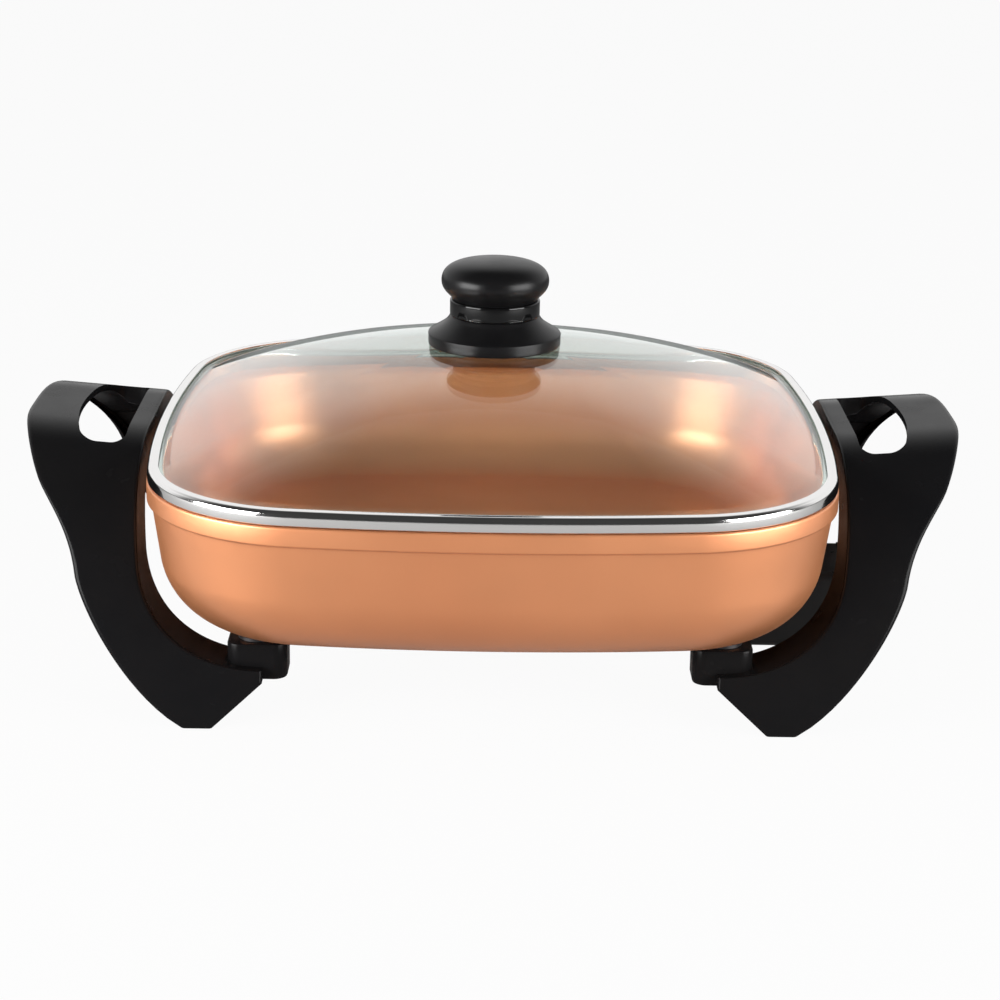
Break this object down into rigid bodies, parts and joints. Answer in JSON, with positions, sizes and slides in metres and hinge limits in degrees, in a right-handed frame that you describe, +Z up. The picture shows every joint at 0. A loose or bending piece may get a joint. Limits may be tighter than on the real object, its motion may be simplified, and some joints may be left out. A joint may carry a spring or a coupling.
{
  "type": "electric skillet",
  "caption": "Square electric skillet on two moulded arch handles, with a domed glass lid that lifts off and a socket under one side for a plug-in heat control.",
  "frame": {"origin": "on the table, under the middle of the pan", "axes": "+X towards the handle with the heat control's socket, +Y to the rear, +Z up"},
  "size_m": [0.434, 0.314, 0.1877],
  "materials": {
    "copper_coat": "satin metallic ceramic coating on cast aluminium",
    "sheath_steel": "dull, darkened by heat",
    "pin_metal": "nickel plated",
    "ceramic": "white ceramic",
    "sleeve_steel": "drawn",
    "guard_black": "moulded, satin",
    "handle_black": "moulded phenolic, satin",
    "spacer_steel": "plain",
    "screw_steel": "zinc plated",
    "glass": "clear tempered glass with a faint green tint",
    "bright_steel": "mirror polished",
    "gasket_grey": "heat-proof silicone",
    "bush_black": "heat-proof silicone",
    "knob_black": "moulded phenolic, satin",
    "collar_black": "polished black",
    "insert_brass": "turned",
    "washer_steel": "plain"
  },
  "bodies": {
    "base": {"pan": "copper_coat", "heating_element": "sheath_steel", "front_terminal_pin": "pin_metal", "rear_terminal_pin": "pin_metal", "front_insulator": "ceramic", "rear_insulator": "ceramic", "probe_sleeve": "sleeve_steel", "terminal_guard": "guard_black", "guard_screws": "screw_steel", "left_handle": "handle_black", "right_handle": "handle_black", "left_heat_spacers": "spacer_steel", "right_heat_spacers": "spacer_steel", "left_handle_screws": "screw_steel", "right_handle_screws": "screw_steel"},
    "lid": {"lid_glass": "glass", "lid_band": "bright_steel", "lid_gasket": "gasket_grey", "glass_bush": "bush_black", "knob_base": "knob_black", "knob_collar": "collar_black", "knob_cap": "knob_black", "knob_insert": "insert_brass", "knob_screw": "screw_steel", "knob_washer": "washer_steel"}
  },
  "joints": [
    {"name": "lid_lift", "type": "slide", "parent": "base", "child": "lid", "axis": [0, 0, 1], "range_m": [0, 0.12]}
  ]
}
